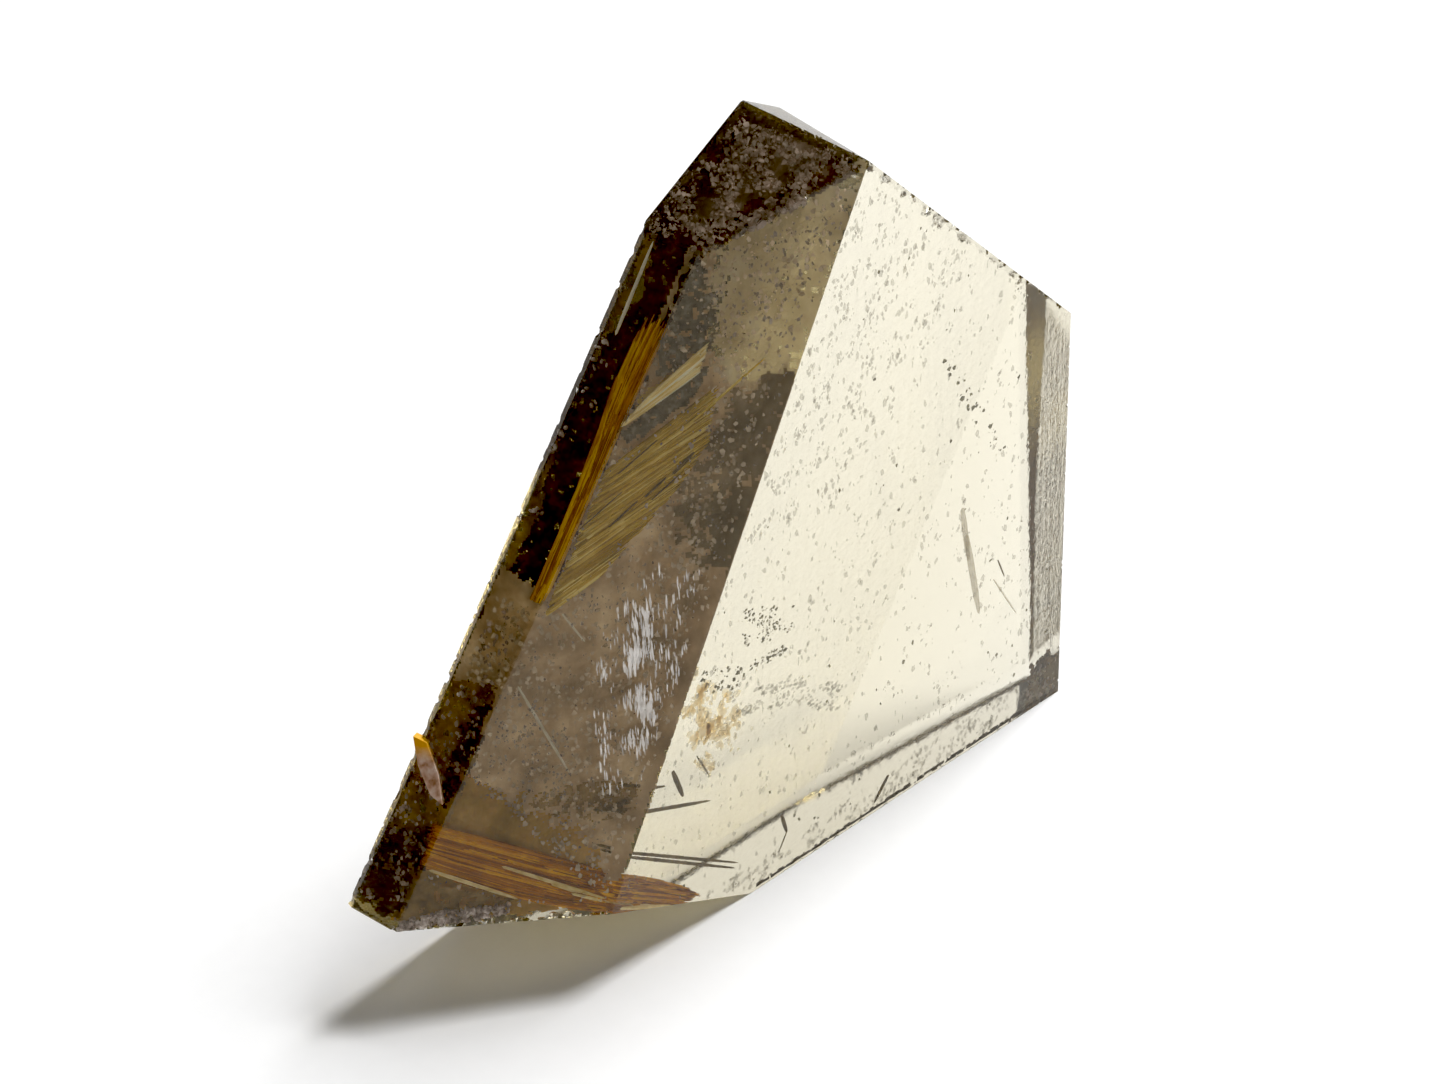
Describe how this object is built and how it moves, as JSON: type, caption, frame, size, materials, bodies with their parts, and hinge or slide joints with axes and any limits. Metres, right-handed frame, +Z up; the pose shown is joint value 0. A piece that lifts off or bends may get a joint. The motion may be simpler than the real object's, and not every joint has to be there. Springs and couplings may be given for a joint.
{
  "type": "rutilated quartz crystal",
  "caption": "Flattened, flat-faced smoky quartz crystal standing on its base face, clear, with golden rutile sheaves and a pale flake inside.",
  "frame": {"origin": "middle of the crystal's bounding box, on the surface that it stands on", "axes": "+Z up from the base face, +Y through the thickness from the broad front face to the back face, +X along the broad front face towards its upright side"},
  "size_m": [0.0422, 0.0085, 0.0436],
  "materials": {
    "smoky_quartz": "clear pale smoky brown, polished flat faces with fine pits and chipped edges",
    "rutile": "golden ochre needles, silky",
    "pink_flake": "pinkish white, cracked, stained orange at one end"
  },
  "bodies": {
    "root": {"quartz_crystal": "smoky_quartz", "rutile_steep_sheaf": "rutile", "rutile_fan": "rutile", "rutile_low_sheaf": "rutile", "pink_flake": "pink_flake"}
  },
  "joints": []
}
